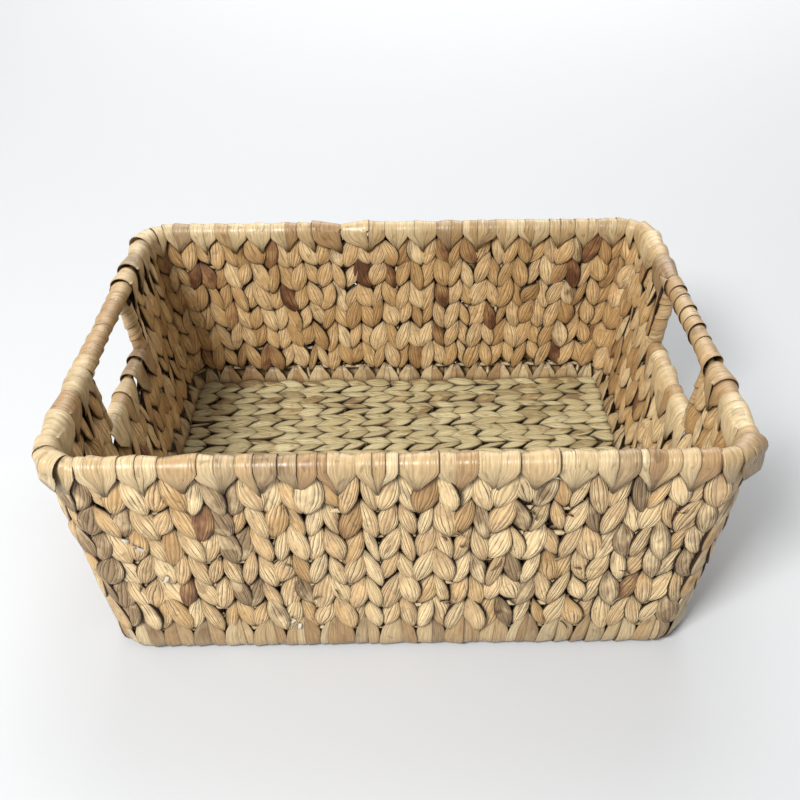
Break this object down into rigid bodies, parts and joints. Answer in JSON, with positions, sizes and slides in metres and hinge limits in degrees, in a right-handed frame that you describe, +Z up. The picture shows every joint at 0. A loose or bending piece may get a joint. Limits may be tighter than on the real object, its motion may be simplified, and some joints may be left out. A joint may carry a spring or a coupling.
{
  "type": "bread basket",
  "caption": "Rectangular water hyacinth bread basket with rounded corners, twined in chevrons over a wire frame, with a wrapped rim and a hand hole in each short side.",
  "frame": {"origin": "on the resting plane, under the middle of the basket", "axes": "+X along the long side, +Y from the front long wall to the back long wall, +Z up out of the mouth"},
  "size_m": [0.4, 0.3, 0.15],
  "materials": {
    "twined_hyacinth": "dried water hyacinth strands, matt, ridged along the strand, straw to brown",
    "wrapped_hyacinth": "flat dried water hyacinth strips wound round the wire, slightly waxy",
    "frame_wire": "mild steel wire with a thin tan lacquer"
  },
  "bodies": {
    "root": {"back_hem": "twined_hyacinth", "back_left_cheek_rim_wrap": "wrapped_hyacinth", "back_left_cheek_weave": "twined_hyacinth", "back_left_corner_hem": "twined_hyacinth", "back_left_corner_rim_wrap": "wrapped_hyacinth", "back_left_corner_weave": "twined_hyacinth", "back_left_jamb_binding": "wrapped_hyacinth", "back_right_cheek_rim_wrap": "wrapped_hyacinth", "back_right_cheek_weave": "twined_hyacinth", "back_right_corner_hem": "twined_hyacinth", "back_right_corner_rim_wrap": "wrapped_hyacinth", "back_right_corner_weave": "twined_hyacinth", "back_right_jamb_binding": "wrapped_hyacinth", "back_rim_wrap": "wrapped_hyacinth", "back_weave": "twined_hyacinth", "base_cross_wires": "frame_wire", "base_hoop": "frame_wire", "base_weave": "twined_hyacinth", "front_hem": "twined_hyacinth", "front_left_cheek_rim_wrap": "wrapped_hyacinth", "front_left_cheek_weave": "twined_hyacinth", "front_left_corner_hem": "twined_hyacinth", "front_left_corner_rim_wrap": "wrapped_hyacinth", "front_left_corner_weave": "twined_hyacinth", "front_left_jamb_binding": "wrapped_hyacinth", "front_right_cheek_rim_wrap": "wrapped_hyacinth", "front_right_cheek_weave": "twined_hyacinth", "front_right_corner_hem": "twined_hyacinth", "front_right_corner_rim_wrap": "wrapped_hyacinth", "front_right_corner_weave": "twined_hyacinth", "front_right_jamb_binding": "wrapped_hyacinth", "front_rim_wrap": "wrapped_hyacinth", "front_weave": "twined_hyacinth", "hoop_wire_1": "frame_wire", "hoop_wire_2": "frame_wire", "hoop_wire_3": "frame_wire", "hoop_wire_4": "frame_wire", "hoop_wire_5": "frame_wire", "hoop_wire_6": "frame_wire", "hoop_wire_7": "frame_wire", "left_grip_wrap": "wrapped_hyacinth", "left_hand_hole_wire": "frame_wire", "left_hem": "twined_hyacinth", "left_sill_binding": "wrapped_hyacinth", "left_sill_weave": "twined_hyacinth", "right_grip_wrap": "wrapped_hyacinth", "right_hand_hole_wire": "frame_wire", "right_hem": "twined_hyacinth", "right_sill_binding": "wrapped_hyacinth", "right_sill_weave": "twined_hyacinth", "rim_wire": "frame_wire", "upright_wires": "frame_wire"}
  },
  "joints": []
}
